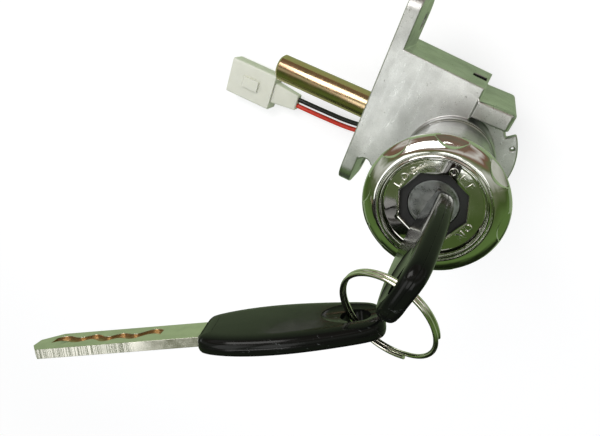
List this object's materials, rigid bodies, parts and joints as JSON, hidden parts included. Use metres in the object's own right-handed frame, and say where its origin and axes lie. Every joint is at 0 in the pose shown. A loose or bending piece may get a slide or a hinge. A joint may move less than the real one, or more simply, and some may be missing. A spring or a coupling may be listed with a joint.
{
  "type": "ignition lock cylinder",
  "caption": "Vehicle ignition lock with flanged die-cast body, chrome scalloped bezel, steering lock bolt, wired switch and two keys on a split ring.",
  "frame": {"origin": "lock bolt's axis at the flange's mounting face", "axes": "-X the way the lock bolt goes out, +Y along the mounting flange, +Z along the cylinder the way the key comes out"},
  "size_m": [0.1337, 0.1013, 0.159],
  "materials": {
    "diecast": "as cast, lightly tumbled",
    "bezel_chrome": "polished",
    "black_plastic": "satin",
    "key_black": "gloss",
    "zinc_plug": "turned",
    "brass_wafer": "stamped",
    "spring_steel": "drawn wire",
    "yellow_zinc": "yellow zinc plated",
    "plain_steel": "bright",
    "blade_nickel": "nickel plated",
    "ring_nickel": "nickel plated",
    "natural_nylon": "translucent",
    "wire_black_pvc": "smooth",
    "wire_red_pvc": "smooth",
    "brass_contact": "stamped"
  },
  "bodies": {
    "housing": {"lock_body": "diecast", "bezel": "bezel_chrome", "face_ring": "black_plastic", "bolt_spring": "spring_steel", "switch_base": "black_plastic", "contact_plate": "black_plastic", "base_screw_1": "plain_steel", "base_screw_2": "plain_steel", "base_screw_3": "plain_steel", "grommet": "black_plastic", "wire_black": "wire_black_pvc", "wire_red": "wire_red_pvc", "connector_housing": "natural_nylon", "connector_sleeve": "natural_nylon", "terminal_black": "brass_contact", "terminal_red": "brass_contact"},
    "plug": {"plug": "zinc_plug", "plug_clip": "spring_steel", "cam": "plain_steel", "contact_rotor": "natural_nylon", "contact_bridge": "brass_contact"},
    "wafers_odd": {"wafer_1": "brass_wafer", "wafer_3": "brass_wafer", "wafer_5": "brass_wafer"},
    "wafers_even": {"wafer_2": "brass_wafer", "wafer_4": "brass_wafer", "wafer_6": "brass_wafer"},
    "bolt": {"lock_bolt": "yellow_zinc", "bolt_slider": "plain_steel", "follower_pin": "plain_steel", "bolt_rivet": "plain_steel"},
    "key_a": {"key_a_head": "key_black", "key_a_blade": "blade_nickel"},
    "ring": {"split_ring": "ring_nickel"},
    "key_b": {"key_b_head": "key_black", "key_b_blade": "blade_nickel"}
  },
  "joints": [
    {"name": "plug_turn", "type": "hinge", "parent": "housing", "child": "plug", "pos_m": [0.0344, 0, 0.045], "axis": [0, 0, 1], "range_deg": [-100, 0]},
    {"name": "bolt_slide", "type": "slide", "parent": "housing", "child": "bolt", "axis": [1, 0, 0], "range_m": [0, 0.008], "deforming": ["bolt_spring"]},
    {"name": "key_pull", "type": "slide", "parent": "plug", "child": "key_a", "axis": [0, 0, 1], "range_m": [0, 0.045]},
    {"name": "wafers_odd_shift", "type": "slide", "parent": "plug", "child": "wafers_odd", "axis": [0.1045, 0.9945, 0], "range_m": [0, 0.0005]},
    {"name": "wafers_even_shift", "type": "slide", "parent": "plug", "child": "wafers_even", "axis": [-0.1045, -0.9945, 0], "range_m": [0, 0.0005]},
    {"name": "ring_swing", "type": "hinge", "parent": "key_a", "child": "ring", "pos_m": [0.0344, 0, 0.1115], "axis": [0.9945, -0.1045, 0], "range_deg": [-20, 20]},
    {"name": "key_b_swing", "type": "hinge", "parent": "ring", "child": "key_b", "pos_m": [0.03015, -0.02063, 0.10227], "axis": [0.5086, -0.8419, 0.1803], "range_deg": [-20, 25]}
  ],
  "couplings": [
    {"joint": "bolt_slide", "follows": "plug_turn", "m_per_rad": -0.0045837},
    {"joint": "wafers_odd_shift", "follows": "key_pull", "ratio": 0.011111},
    {"joint": "wafers_even_shift", "follows": "key_pull", "ratio": 0.011111}
  ]
}
